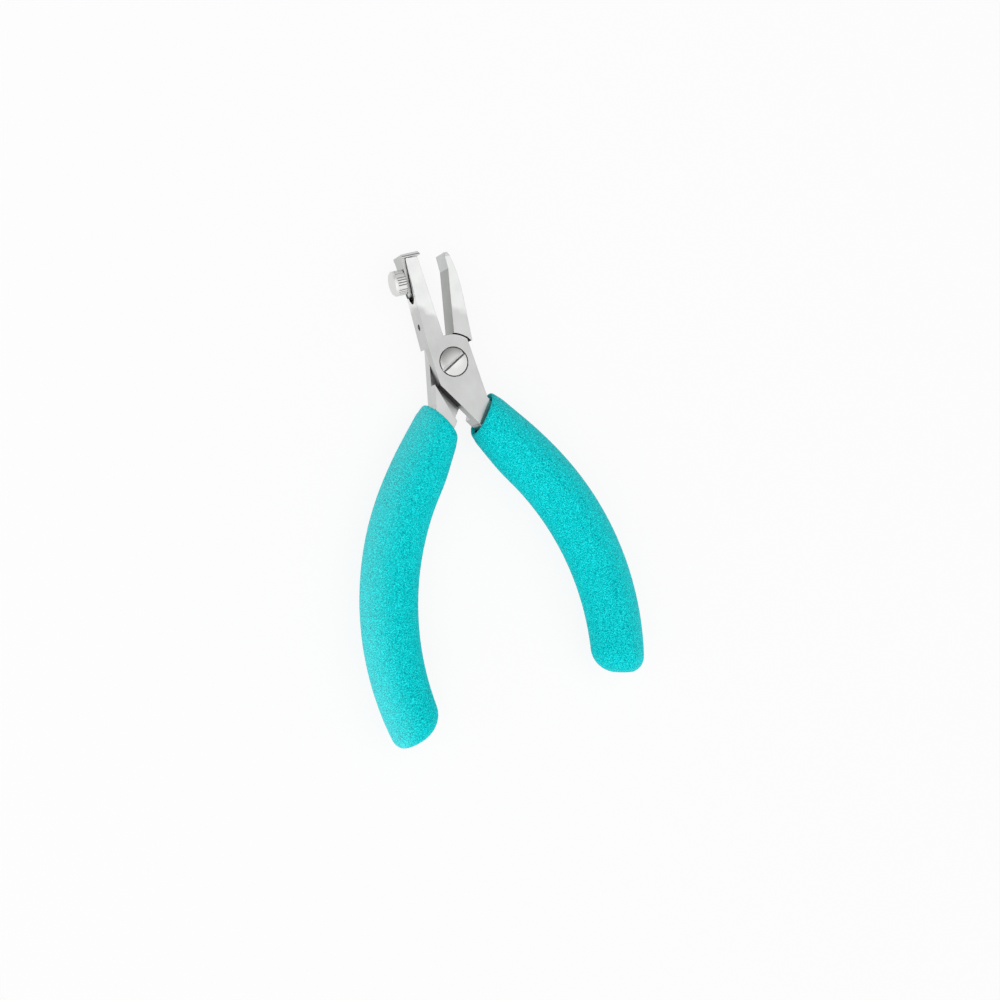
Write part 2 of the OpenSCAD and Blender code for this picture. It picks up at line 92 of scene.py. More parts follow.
class NodeGraph:
    """Short hand for adding linked shader nodes to one material."""

    def __init__(self, name: str) -> None:
        """Starts a material with a Principled shader and its output.

        Args:
            name: Name of the new material.
        """
        self.material = bpy.data.materials.new(name)
        self.material.use_nodes = True
        self.tree = self.material.node_tree
        self.tree.nodes.clear()
        self.output = self.add("ShaderNodeOutputMaterial")
        self.shader = self.add("ShaderNodeBsdfPrincipled")
        self.link(self.shader, "BSDF", self.output, "Surface")

    def add(self, kind: str, **values: object) -> bpy.types.Node:
        """Adds a node and sets its sockets or attributes.

        Args:
            kind: Blender's name of the node type.
            **values: Socket names, with underscores for spaces, or attribute names.

        Returns:
            The new node.
        """
        node = self.tree.nodes.new(kind)
        for key, value in values.items():
            socket = node.inputs.get(key.replace("_", " "))
            if socket is not None:
                socket.default_value = value
            else:
                setattr(node, key, value)
        return node

    def link(self, source: bpy.types.Node, out: str | int, target: bpy.types.Node, into: str | int) -> None:
        """Links one node's output to another's input."""
        self.tree.links.new(source.outputs[out], target.inputs[into])

    def scaled(self, source: bpy.types.Node, factor: float, base: bpy.types.Node | None = None) -> bpy.types.Node:
        """Adds a node that multiplies a value by a constant.

        Args:
            source: Node whose first output is the value.
            factor: The constant.
            base: Node whose Value is added afterwards, if any.

        Returns:
            The new node.
        """
        node = self.add("ShaderNodeMath", operation="MULTIPLY" if base is None else "MULTIPLY_ADD")
        node.inputs[1].default_value = factor
        self.link(source, 0, node, 0)
        if base is not None:
            self.link(base, "Value", node, 2)
        return node

    def multiplied(self, first: bpy.types.Node, second: bpy.types.Node) -> bpy.types.Node:
        """Adds a node that multiplies two colours.

        Args:
            first: Node whose first output is one colour.
            second: Node whose first output is the other.

        Returns:
            The new node.
        """
        node = self.add("ShaderNodeVectorMath", operation="MULTIPLY")
        self.link(first, 0, node, 0)
        self.link(second, 0, node, 1)
        return node

    def bump(self, source: bpy.types.Node, out: str, strength: float, depth: float) -> None:
        """Dents the shader's surface by a value.

        Args:
            source: Node that gives the value.
            out: Name of its output.
            strength: Share of the dents that shows.
            depth: Depth of the dents, in metres.
        """
        node = self.add("ShaderNodeBump", Strength=strength, Distance=depth)
        self.link(source, out, node, "Height")
        self.link(node, "Normal", self.shader, "Normal")

    def place(self, stretch: Colour = (1.0, 1.0, 1.0)) -> bpy.types.Node:
        """Adds Object coordinates through a Mapping node.

        Args:
            stretch: Scale of the pattern on each axis.

        Returns:
            The Mapping node.
        """
        coordinates = self.add("ShaderNodeTexCoord")
        mapping = self.add("ShaderNodeMapping", Scale=stretch)
        self.link(coordinates, "Object", mapping, "Vector")
        return mapping

    def noise(self, place: bpy.types.Node, size: float, detail: float = 2.0, rough: float = 0.5) -> bpy.types.Node:
        """Adds a noise texture whose features are about the given size.

        Args:
            place: Node that gives the coordinates.
            size: Size of a feature, in metres.
            detail: Octaves of finer noise.
            rough: Share of the finer octaves.

        Returns:
            The noise node.
        """
        node = self.add("ShaderNodeTexNoise", Scale=1.0 / size, Detail=detail, Roughness=rough)
        self.link(place, "Vector", node, "Vector")
        return node

    def ramp(self, source: bpy.types.Node, out: str, stops: list[tuple[float, Colour]]) -> bpy.types.Node:
        """Adds a colour ramp over a value.

        Args:
            source: Node that gives the value.
            out: Name of its output.
            stops: Places and linear colours, from low to high.

        Returns:
            The ramp node.
        """
        node = self.add("ShaderNodeValToRGB")
        self.link(source, out, node, "Fac")
        elements = node.color_ramp.elements
        while len(elements) < len(stops):
            elements.new(0.5)
        for element, (spot, colour) in zip(elements, stops):
            element.position = spot
            element.color = (*colour, 1.0)
        return node

    def span(self, source: bpy.types.Node, out: str, low: float, high: float) -> bpy.types.Node:
        """Adds a node that maps a value from 0..1 to a range.

        Args:
            source: Node that gives the value.
            out: Name of its output.
            low: Result at 0.
            high: Result at 1.

        Returns:
            The new node, whose Result is the mapped value.
        """
        node = self.add("ShaderNodeMapRange", To_Min=low, To_Max=high)
        self.link(source, out, node, "Value")
        return node


@dataclass(frozen=True)
class Fade:
    """A tone that changes softly along one direction. Places are in millimetres, from low to high."""

    toward: Colour
    stops: tuple[tuple[float, float], ...]
    ragged: float = 0.0
    patch: float = 2.5

    def build(self, graph: NodeGraph) -> bpy.types.Node:
        """Adds the fade's nodes.

        Args:
            graph: Graph that the nodes go into.

        Returns:
            The ramp node whose Color is the tone.
        """
        along = graph.add("ShaderNodeVectorMath", operation="DOT_PRODUCT")
        along.inputs[1].default_value = self.toward
        graph.link(graph.place(), "Vector", along, 0)
        patches = graph.noise(graph.place(), self.patch * MM)
        shifted = graph.scaled(patches, 2.0 * self.ragged * MM, along)
        first, last = self.stops[0][0], self.stops[-1][0]
        share = graph.add(
            "ShaderNodeMapRange",
            From_Min=(first + self.ragged) * MM, From_Max=(last + self.ragged) * MM,
        )
        graph.link(shifted, "Value", share, "Value")
        ramp = graph.ramp(
            share, "Result", [((place - first) / (last - first), (tone,) * 3) for place, tone in self.stops]
        )
        ramp.color_ramp.interpolation = "EASE"
        return ramp

    def over(self, graph: NodeGraph, tone: bpy.types.Node) -> bpy.types.Node:
        """Returns a node that lays the fade over a tone's first output."""
        return graph.multiplied(tone, self.build(graph))


@dataclass(frozen=True)
class GroundSteel:
    """Satin ground steel with fine grinding lines."""

    name: str
    pale: Colour
    dark: Colour
    rough_low: float
    rough_high: float
    grain: Grain
    fades: tuple[Fade, ...] = ()
    line: float = 0.12 * MM
    line_depth: float = 0.004 * MM
    line_strength: float = 0.5
    line_share: float = 0.35
    cloud: float = 6.0 * MM
    metal: float = 1.0

    def build(self) -> bpy.types.Material:
        """Builds the finish.

        Returns:
            The new material.
        """
        graph = NodeGraph(self.name)
        shader = graph.shader
        shader.inputs["Metallic"].default_value = self.metal
        lines = graph.noise(graph.place(self.grain.value), self.line, detail=3.0, rough=0.6)
        clouds = graph.noise(graph.place(), self.cloud, detail=3.0)
        mixed = graph.scaled(lines, self.line_share, graph.scaled(clouds, 1.0 - self.line_share))
        tone = graph.ramp(mixed, "Value", [(NOISE_LOW, self.dark), (NOISE_HIGH, self.pale)])
        for fade in self.fades:
            tone = fade.over(graph, tone)
        graph.link(tone, 0, shader, "Base Color")
        gloss = graph.span(mixed, "Value", self.rough_high, self.rough_low)
        graph.link(gloss, "Result", shader, "Roughness")
        graph.bump(lines, "Fac", self.line_strength, self.line_depth)
        return graph.material


@dataclass(frozen=True)
class TurnedSteel:
    """Lathe-turned steel with fine rings about an axis.

    The axis passes a point given in millimetres. The steel can be darkened inside a radius, as painted shade in the
    grooves of a knurl: the radius up to which the steel is darkest, the radius from which it is plain, both in
    millimetres, and the darkest tone.
    """

    name: str
    pale: Colour
    dark: Colour
    roughness: float
    point: Colour = (0.0, 0.0, 0.0)
    axis: Colour = (0.0, 0.0, 1.0)
    ring: float = 0.07 * MM
    ring_depth: float = 0.0015 * MM
    ring_strength: float = 0.4
    painted_groove_shade: tuple[float, float, float] = (0.0, 0.0, 1.0)
    fades: tuple[Fade, ...] = ()
    metal: float = 1.0

    def build(self) -> bpy.types.Material:
        """Builds the finish.

        Returns:
            The new material.
        """
        graph = NodeGraph(self.name)
        shader = graph.shader
        shader.inputs["Metallic"].default_value = self.metal
        shader.inputs["Roughness"].default_value = self.roughness
        offset = graph.add("ShaderNodeVectorMath", operation="SUBTRACT")
        offset.inputs[1].default_value = Vector(self.point) * MM
        graph.link(graph.place(), "Vector", offset, 0)
        around = graph.add("ShaderNodeVectorMath", operation="CROSS_PRODUCT")
        around.inputs[1].default_value = self.axis
        graph.link(offset, "Vector", around, 0)
        radius = graph.add("ShaderNodeVectorMath", operation="LENGTH")
        graph.link(around, "Vector", radius, 0)
        rings = graph.add(
            "ShaderNodeTexNoise", noise_dimensions="1D", Scale=1.0 / self.ring, Detail=2.0, Roughness=0.6
        )
        graph.link(radius, "Value", rings, "W")
        tone = graph.ramp(rings, "Fac", [(NOISE_LOW, self.dark), (NOISE_HIGH, self.pale)])
        low, high, darkest = self.painted_groove_shade
        if high > low:
            share = graph.add(
                "ShaderNodeMapRange", From_Min=low * MM, From_Max=high * MM, To_Min=darkest, To_Max=1.0
            )
            graph.link(radius, "Value", share, "Value")
            tone = graph.multiplied(tone, share)
        for fade in self.fades:
            tone = fade.over(graph, tone)
        graph.link(tone, 0, shader, "Base Color")
        graph.bump(rings, "Fac", self.ring_strength, self.ring_depth)
        return graph.material


@dataclass(frozen=True)
class CellFoam:
    """Matte closed-cell foam: fine pores, darker in their hollows, over one bright colour.

    One share says how much of a pale colour lies over the outer side of a sleeve: painted light, for the paler look
    that the side light gives that side. Stops are the noise values where the foam turns from deep to body and from
    body to pale.
    """

    name: str
    body: Colour
    pale: Colour
    deep: Colour
    painted_rim_light_share: float = 0.0
    painted_rim_light: Colour = (0.64, 0.90, 0.95)
    painted_rim_light_from: float = -0.1
    painted_rim_light_curve: float = 2.0
    stops: tuple[float, float, float, float] = (0.36, 0.47, 0.53, 0.63)
    pore: float = 0.26 * MM
    pore_rough: float = 0.55
    pore_depth: float = 0.12 * MM
    pore_strength: float = 0.8
    roughness: float = 0.85
    specular: float = 0.04
    sheen: float = 0.1
    sheen_roughness: float = 0.3

    def build(self) -> bpy.types.Material:
        """Builds the finish.

        Returns:
            The new material.
        """
        graph = NodeGraph(self.name)
        shader = graph.shader
        shader.inputs["Roughness"].default_value = self.roughness
        shader.inputs["Specular IOR Level"].default_value = self.specular
        shader.inputs["Sheen Weight"].default_value = self.sheen
        shader.inputs["Sheen Roughness"].default_value = self.sheen_roughness
        place = graph.place()
        cells = graph.noise(place, self.pore, rough=self.pore_rough)
        colours = (self.deep, self.body, self.body, self.pale)
        tone = graph.ramp(cells, "Fac", list(zip(self.stops, colours)))
        graph.link(self._paint_rim_light(graph, tone), 0, shader, "Base Color")
        pores = graph.add("ShaderNodeTexVoronoi", Scale=1.0 / self.pore, feature="F1")
        graph.link(place, "Vector", pores, "Vector")
        graph.bump(pores, "Distance", self.pore_strength, self.pore_depth)
        return graph.material

    def _paint_rim_light(self, graph: NodeGraph, tone: bpy.types.Node) -> bpy.types.Node:
        """Paints light over the outer side of a sleeve: a paler colour for the paler look the side light gives
        there.

        Args:
            graph: Graph that the nodes go into.
            tone: Node whose first output is the colour so far.

        Returns:
            The node whose first output is the paled colour.
        """
        side = graph.add("ShaderNodeAttribute", attribute_name=OUTER_SIDE)
        share = graph.add("ShaderNodeMapRange", From_Min=self.painted_rim_light_from, From_Max=1.0)
        graph.link(side, "Fac", share, "Value")
        curve = graph.add("ShaderNodeMath", operation="POWER")
        curve.inputs[1].default_value = self.painted_rim_light_curve
        graph.link(share, "Result", curve, 0)
        painted_rim_light = graph.add("ShaderNodeVectorMath", operation="MULTIPLY_ADD")
        painted_rim_light.inputs[1].default_value = Vector(self.painted_rim_light) * self.painted_rim_light_share
        graph.link(curve, "Value", painted_rim_light, 0)
        graph.link(tone, 0, painted_rim_light, 2)
        return painted_rim_light


LEVER_PALE: Colour = (0.64, 0.65, 0.64)
LEVER_DARK: Colour = (0.56, 0.57, 0.56)
JAW_PALE: Colour = (0.82, 0.83, 0.82)
JAW_DARK: Colour = (0.73, 0.74, 0.73)
POLISHED_PALE: Colour = (0.85, 0.86, 0.85)
POLISHED_DARK: Colour = (0.73, 0.74, 0.73)
REAR_STEEL = GroundSteel(
    "rear_lever_steel", JAW_PALE, JAW_DARK, 0.28, 0.42, Grain.ALONG_JAW,
    (Fade((0.552, 1.0, 0.0), ((13.6, 0.76), (15.9, 1.0)), 1.2),),
)
FRONT_STEEL = GroundSteel(
    "front_lever_steel", POLISHED_PALE, POLISHED_DARK, 0.28, 0.42, Grain.ALONG_JAW,
    (Fade((0.846, 1.0, 0.0), ((8.6, 0.71), (10.8, 1.0)), 1.2),),
)
# Painted shade: the jaw's inner relief face looks away from the light, so its steel is given a darker grey.
SHADED_RELIEF_STEEL = GroundSteel(
    "painted_shade_relief_steel", (0.46, 0.47, 0.46), (0.40, 0.41, 0.40), 0.40, 0.50, Grain.ALONG_JAW
)
FLAT_STEEL = GroundSteel(
    "lapped_flat_steel", (0.62, 0.63, 0.63), (0.57, 0.58, 0.58), 0.34, 0.44, Grain.ALONG_JAW
)
TIP_STEEL = GroundSteel(
    "blasted_tip_steel", (0.80, 0.81, 0.80), (0.75, 0.76, 0.75), 0.62, 0.70, Grain.EVEN, metal=0.0
)
# Painted shade: the rear lever's lap face goes near black next to the front plate's inner edge, where the plate
# shades it, and brightens step by step away from it.
SHADED_LAP_STEEL = GroundSteel(
    "painted_shade_lap_steel", LEVER_PALE, LEVER_DARK, 0.30, 0.45, Grain.ALONG_JAW,
    (Fade(
        (-0.811, -0.585, 0.0),
        (
            (-5.0, 0.75), (-1.0, 0.04), (3.6, 0.04), (5.0, 0.10), (5.7, 0.32),
            (6.6, 0.34), (7.1, 0.50), (7.6, 0.92), (9.2, 1.0),
        ),
    ),),
)
# Painted shade: the front plate's lower inner side face, over the gap to the rear lever, is near black and turns
# plain only past a line near the tang's shoulder.
SHADED_INNER_EDGE_STEEL = GroundSteel(
    "painted_shade_inner_edge_steel", (0.46, 0.47, 0.46), (0.40, 0.41, 0.40), 0.34, 0.46, Grain.ALONG_JAW,
    (Fade((0.585, -0.811, 0.0), ((8.55, 0.02), (8.95, 1.0))),),
)
# Painted shade: this side face of the front lever by the joint is dark where it lies low and far from the tips, and
# light towards the tips and the top.
SHADED_CORNER_STEEL = GroundSteel(
    "painted_shade_corner_steel", LEVER_PALE, LEVER_DARK, 0.30, 0.45, Grain.ALONG_JAW,
    (Fade((0.0, 0.75, 0.66), ((-0.8, 0.20), (0.6, 0.28), (1.4, 0.60), (2.0, 0.90), (7.0, 0.90))),),
)
# Painted shade: near-black faces in the blade's groove, the joint's gaps, the screw slot's wall and the pivot screw
# head's rim side, where only shade falls.
GAP_SHADE_STEEL = GroundSteel(
    "painted_shade_gap_steel", (0.030, 0.030, 0.032), (0.015, 0.015, 0.016), 0.45, 0.60, Grain.EVEN
)
# Painted shade: the blade is near black below a slanted plane, on its deeper parts that sit down in the jaw's
# groove, and plain above it.
BLADE_STEEL = GroundSteel(
    "hook_blade_steel", (0.58, 0.59, 0.58), (0.49, 0.50, 0.49), 0.26, 0.40, Grain.ALONG_BLADE,
    (Fade((0.0, 1.0, 1.5), ((23.95, 0.03), (24.30, 1.0))),),
)
# Painted shade: the tongue's front wall is near black where it lies down in the jaw's groove and plain where it
# stands out of it.
SHADED_TONGUE_SIDE_STEEL = GroundSteel(
    "painted_shade_tongue_side_steel", (0.60, 0.61, 0.60), (0.52, 0.53, 0.52), 0.30, 0.45, Grain.ALONG_JAW,
    (Fade((-1.0, -0.073, 0.0), ((5.05, 0.03), (5.19, 1.0))),),
)
# Painted shade: a dark line across the hook's front near the jaw's tip, with a greyer band beyond it.
HOOK_STEEL = GroundSteel(
    "hook_front_steel", (0.80, 0.81, 0.80), (0.70, 0.71, 0.70), 0.26, 0.40, Grain.ALONG_BLADE,
    (Fade((-0.0444, 0.999, 0.0), ((27.90, 0.98), (28.00, 0.24), (28.16, 0.24), (28.30, 0.72))),),
)
# Painted shade: the head is darker on its half towards -X and +Y, and plain on the other half.
HEAD_STEEL = TurnedSteel(
    "screw_head_steel", (0.77, 0.77, 0.76), (0.71, 0.71, 0.70), 0.28,
    fades=(Fade((0.515, -0.857, 0.0), ((-2.6, 0.74), (-0.4, 0.84), (0.6, 1.0))),),
)
# Painted shadow: the slot's floor goes near black along its wall on the +X, -Y side, where that wall shades it.
SLOT_STEEL = GroundSteel(
    "screw_slot_steel", (0.66, 0.66, 0.66), (0.60, 0.60, 0.60), 0.35, 0.50, Grain.EVEN,
    (Fade((0.515, -0.857, 0.0), ((0.08, 1.0), (0.22, 0.05))),),
)
THUMB_POINT: Colour = (-6.784, 22.0, 3.5)
THUMB_AXIS: Colour = (-0.9980267, -0.0627905, 0.0)
THUMB_STEEL = TurnedSteel(
    "thumb_screw_steel", (0.75, 0.75, 0.74), (0.72, 0.72, 0.71), 0.38, THUMB_POINT, THUMB_AXIS
)
# Painted shade: the knurl's grooves, inside 2.97 mm of the axis, go nearly black.
KNURL_STEEL = TurnedSteel(
    "knurled_rim_steel", (0.80, 0.80, 0.79), (0.77, 0.77, 0.76), 0.48, THUMB_POINT, THUMB_AXIS,
    painted_groove_shade=(2.97, 3.12, 0.10), metal=0.25,
)
DARK_STEEL = GroundSteel(
    "oiled_dark_steel", (0.22, 0.22, 0.23), (0.10, 0.10, 0.11), 0.35, 0.55, Grain.EVEN
)
FOAM_BODY: Colour = (0.001, 0.625, 0.662)
FOAM_PALE: Colour = (0.025, 0.930, 0.955)
FOAM_DEEP: Colour = (0.0002, 0.280, 0.310)
# The two sleeves differ only in how much painted light lies over their outer sides.
LEFT_FOAM = CellFoam("left_turquoise_foam", FOAM_BODY, FOAM_PALE, FOAM_DEEP, 0.11)
RIGHT_FOAM = CellFoam("right_turquoise_foam", FOAM_BODY, FOAM_PALE, FOAM_DEEP, 0.05)
BORE_FOAM = CellFoam(
    "shaded_bore_foam", (0.001, 0.020, 0.022), (0.002, 0.030, 0.032), (0.000, 0.010, 0.011)
)


def deselect_all() -> None:
    """Leaves object mode with nothing selected."""
    if bpy.context.object is not None and bpy.context.object.mode != "OBJECT":
        bpy.ops.object.mode_set(mode="OBJECT")
    bpy.ops.object.select_all(action="DESELECT")


def make_active(piece: bpy.types.Object) -> None:
    """Selects one piece alone and makes it active.

    Args:
        piece: The piece.
    """
    deselect_all()
    piece.select_set(True)
    bpy.context.view_layer.objects.active = piece


def apply_modifiers(piece: bpy.types.Object) -> None:
    """Applies every modifier of a piece, in order.

    Args:
        piece: The piece.
    """
    make_active(piece)
    for modifier in list(piece.modifiers):
        bpy.ops.object.modifier_apply(modifier=modifier.name)


def paint_faces(piece: bpy.types.Object, index: int, chooses: Callable[[bpy.types.MeshPolygon], bool]) -> int:
    """Gives some faces one of their piece's materials.

    Args:
        piece: The piece.
        index: Place of the material among the piece's own.
        chooses: Test that tells whether a face gets it.

    Returns:
        How many faces got it.
    """
    make_active(piece)
    bpy.ops.object.mode_set(mode="EDIT")
    bpy.ops.mesh.select_mode(type="FACE")
    bpy.ops.mesh.select_all(action="DESELECT")
    bpy.ops.object.mode_set(mode="OBJECT")
    chosen = 0
    for face in piece.data.polygons:
        face.select = chooses(face)
        chosen += face.select
    bpy.ops.object.mode_set(mode="EDIT")
    piece.active_material_index = index
    bpy.ops.object.material_slot_assign()
    bpy.ops.object.mode_set(mode="OBJECT")
    return chosen


@dataclass(frozen=True)
class FaceRegion:
    """Faces of one piece that have a material of their own, in most cases painted shade. Places are in millimetres.

    A face belongs if the cosine between its normal and the facing lies between agree and below, its level along
    the facing lies in the level's range, and its Y lies in the height's range.
    """

    finish: GroundSteel | TurnedSteel
    facing: Colour
    level: tuple[float, float]
    height: tuple[float, float]
    agree: float = 0.985
    below: float = 1.1

    def holds(self, face: bpy.types.MeshPolygon) -> bool:
        """Tells whether a face looks the right way at the right place.

        Args:
            face: A face of the piece.

        Returns:
            Whether the face belongs to the region.
        """
        facing = Vector(self.facing).normalized()
        level = face.center.dot(facing) / MM
        height = face.center.y / MM
        looks = self.agree < face.normal.dot(facing) < self.below
        return looks and self.level[0] < level < self.level[1] and self.height[0] < height < self.height[1]


@dataclass
class SteelPiece:
    """A machined steel piece: its CAD solid with broken edges and a ground finish.

    An edge is broken if every edge that meets it is longer than the room, a multiple of the bevel's width.
    """

    node: str
    piece_name: str
    body: Body
    slot: str
    finish: GroundSteel | TurnedSteel
    edge: float
    regions: tuple[FaceRegion, ...] = ()
    edge_angle: float = math.radians(20.0)
    flat_angle: float = math.radians(0.5)
    weld: float = 0.0005 * MM
    segments: int = 2
    room: float = 2.2

    def build(self) -> bpy.types.Object:
        """Breaks the edges of a copy of the solid and dresses it.

        Returns:
            The finished piece.
        """
        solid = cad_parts[self.node]
        piece = bpy.data.objects.new(self.piece_name, solid.data.copy())
        bpy.context.scene.collection.objects.link(piece)
        self._join_faces(piece)
        self._break_edges(piece)
        piece.data.materials.clear()
        piece.data.materials.append(self.finish.build())
        for index, region in enumerate(self.regions, start=1):
            piece.data.materials.append(region.finish.build())
            chosen = paint_faces(piece, index, region.holds)
            LOG.info("%s: %d faces of %s", piece.name, chosen, region.finish.name)
        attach(piece, self.body.value)
        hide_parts(self.node)
        return piece

    def _join_faces(self, piece: bpy.types.Object) -> None:
        """Merges the loose triangles into flat faces.

        Args:
            piece: The piece.
        """
        make_active(piece)
        bpy.ops.mesh.customdata_custom_splitnormals_clear()
        bpy.ops.object.mode_set(mode="EDIT")
        bpy.ops.mesh.select_all(action="SELECT")
        bpy.ops.mesh.remove_doubles(threshold=self.weld)
        bpy.ops.mesh.dissolve_limited(angle_limit=self.flat_angle)
        bpy.ops.object.mode_set(mode="OBJECT")

    def _break_edges(self, piece: bpy.types.Object) -> None:
        """Bevels the sharp edges that have room for it and smooths the rest.

        Args:
            piece: The piece.
        """
        make_active(piece)
        bpy.ops.object.shade_smooth_by_angle(angle=self.edge_angle)
        self._weigh_edges(piece)
        bevel = piece.modifiers.new("broken_edges", "BEVEL")
        bevel.limit_method = "WEIGHT"
        bevel.width = self.edge
        bevel.segments = self.segments
        bevel.use_clamp_overlap = False
        bevel.miter_outer = "MITER_ARC"
        bevel.harden_normals = True
        apply_modifiers(piece)

    def _weigh_edges(self, piece: bpy.types.Object) -> None:
        """Marks the sharp edges whose neighbours are long enough for the bevel.

        Args:
            piece: The piece.
        """
        mesh = piece.data
        shortest = [math.inf] * len(mesh.vertices)
        for edge in mesh.edges:
            first, last = edge.vertices
            length = (mesh.vertices[first].co - mesh.vertices[last].co).length
            shortest[first] = min(shortest[first], length)
            shortest[last] = min(shortest[last], length)
        weights = mesh.attributes.new("bevel_weight_edge", "FLOAT", "EDGE")
        marked = 0
        for edge in mesh.edges:
            room = min(shortest[end] for end in edge.vertices)
            if edge.use_edge_sharp and room > self.room * self.edge:
                weights.data[edge.index].value = 1.0
                marked += 1
        LOG.info("%s: %d edges broken", piece.name, marked)


@dataclass(frozen=True)
class Ring:
    """One ring of a sleeve: its length from the mouth, half sizes and shift inwards, in millimetres."""

    along: float
    half_w: float
    half_t: float
    shift: float = 0.0


def round_inset(left: float, radius: float) -> float:
    """Returns how far a rounded end has drawn in.

    Args:
        left: Length left to the end.
        radius: Radius of the rounding.

    Returns:
        The inset, none before the rounding starts.
    """
    if left >= radius:
        return 0.0
    return radius - math.sqrt(radius * radius - (radius - left) ** 2)


@dataclass
class FoamSleeve:
    """A foam tube pushed over a tang, drawn out ring by ring along its bend. Sizes are in millimetres."""

    side: Side
    node: str
    body: Body
    length: float
    outer_end_r: float
    finish: CellFoam
    tang_lean: float = 35.8
    tang_offset: float = 3.58
    bend_start: float = 32.3
    bend_r: float = 71.0
    start: float = 14.5
    mid_z: float = 3.5
    mouth_w: float = 11.8
    widest_w: float = 14.7
    end_w: float = 13.1
    swell: float = 0.38
    thick: float = 13.6
    mouth_r: float = 2.5
    mouth_slant: float = 20.0
    slant_l: float = 15.0
    inner_end_r: float = 6.4
    end_wall: float = 3.4
    shoulder_at: float = 13.0
    shoulder_l: float = 7.0
    shoulder_rise: float = 0.3
    bore_w: float = 9.2
    bore_t: float = 8.7
    ring_sides: int = 48
    body_rings: int = 60
    bore_rings: int = 12
    bore_lip: int = 3
    round_steps: int = 5
    rounding_levels: int = 2
    cell_size: float = 0.55
    cell_rise: float = 0.09
    cell_depth: int = 2

    def build(self) -> bpy.types.Object:
        """Draws out the tube, gives it its pores and dresses it.

        Returns:
            The finished sleeve.
        """
        piece = self._draw_tube()
        piece.data.materials.append(self.finish.build())
        piece.data.materials.append(BORE_FOAM.build())
        self._dress_bore(piece)
        self._mark_outer_side(piece)
        self._swell_surface(piece)
        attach(piece, self.body.value)
        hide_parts(self.node)
        return piece

    def _turn(self, along: float) -> float:
        """Returns the bend's turn in radians at a length along the tang."""
        return max(0.0, along - self.bend_start) / self.bend_r

    def _centre(self, along: float) -> Vector:
        """Finds the middle of the tang, on the right-hand handle.

        Args:
            along: Length along the tang, from the pivot.

        Returns:
            The middle at that length.
        """
        lean = math.radians(self.tang_lean)
        ahead = Vector((math.sin(lean), -math.cos(lean), 0.0))
        inward = Vector((-math.cos(lean), -math.sin(lean), 0.0))
        if along <= self.bend_start:
            flat = ahead * along + inward * self.tang_offset
        else:
            here = lean - self._turn(along)
            side = Vector((-math.cos(here), -math.sin(here), 0.0))
            flat = ahead * self.bend_start + inward * (self.tang_offset + self.bend_r) - side * self.bend_r
        return flat + Vector((0.0, 0.0, self.mid_z))

    def _half_width(self, share: float) -> float:
        """Finds half the sleeve's width.

        Args:
            share: Share of the sleeve's length, from its mouth.

        Returns:
            Half the width there.
        """
        near = share < self.swell
        fade = 1.0 - share / self.swell if near else (share - self.swell) / (1.0 - self.swell)
        end = self.mouth_w if near else self.end_w
        return (self.widest_w - (self.widest_w - end) * fade * fade) / 2.0

    def _body_half(self, along: float) -> float:
        """Returns half the sleeve's width at a length from its mouth, with the swelling over the tang's shoulder."""
        away = (along - self.shoulder_at) / self.shoulder_l
        return self._half_width(along / self.length) + self.shoulder_rise * math.exp(-away * away)

    def _stations(self) -> list[Ring]:
        """Lists the rings of the tube, from the bottom of its bore, out over the lip and on to its closed end.

        Returns:
            The rings, in order.
        """
        bore_end = self.length - self.end_wall
        rings = [
            Ring(bore_end - (bore_end - self.mouth_r) * i / self.bore_rings, self.bore_w / 2.0, self.bore_t / 2.0)
            for i in range(self.bore_rings + 1)
        ]
        lip_w = self._half_width(0.0)
        lip_t = self.thick / 2.0
        for i in range(1, 2 * self.round_steps):
            angle = math.pi * i / (2 * self.round_steps)
            depth = self.mouth_r * (1.0 - math.sin(angle))
            share = (1.0 - math.cos(angle)) / 2.0
            half_w = self.bore_w / 2.0 + (lip_w - self.bore_w / 2.0) * share
            half_t = self.bore_t / 2.0 + (lip_t - self.bore_t / 2.0) * share
            rings.append(Ring(depth, half_w, half_t))
        plain_l = self.length - self.mouth_r - self.inner_end_r
        for i in range(self.body_rings + 1):
            along = self.mouth_r + plain_l * i / self.body_rings
            rings.append(Ring(along, self._body_half(along), lip_t))
        for i in range(1, 2 * self.round_steps + 1):
            angle = math.pi / 2.0 * i / (2 * self.round_steps)
            left = self.inner_end_r * (1.0 - math.sin(angle))
            inner = round_inset(left, self.inner_end_r)
            outer = round_inset(left, self.outer_end_r)
            half_w = self._body_half(self.length - left) - (inner + outer) / 2.0
            half_t = lip_t - round_inset(left, (self.inner_end_r + self.outer_end_r) / 2.0)
            rings.append(Ring(self.length - left, half_w, half_t, (outer - inner) / 2.0))
        return rings

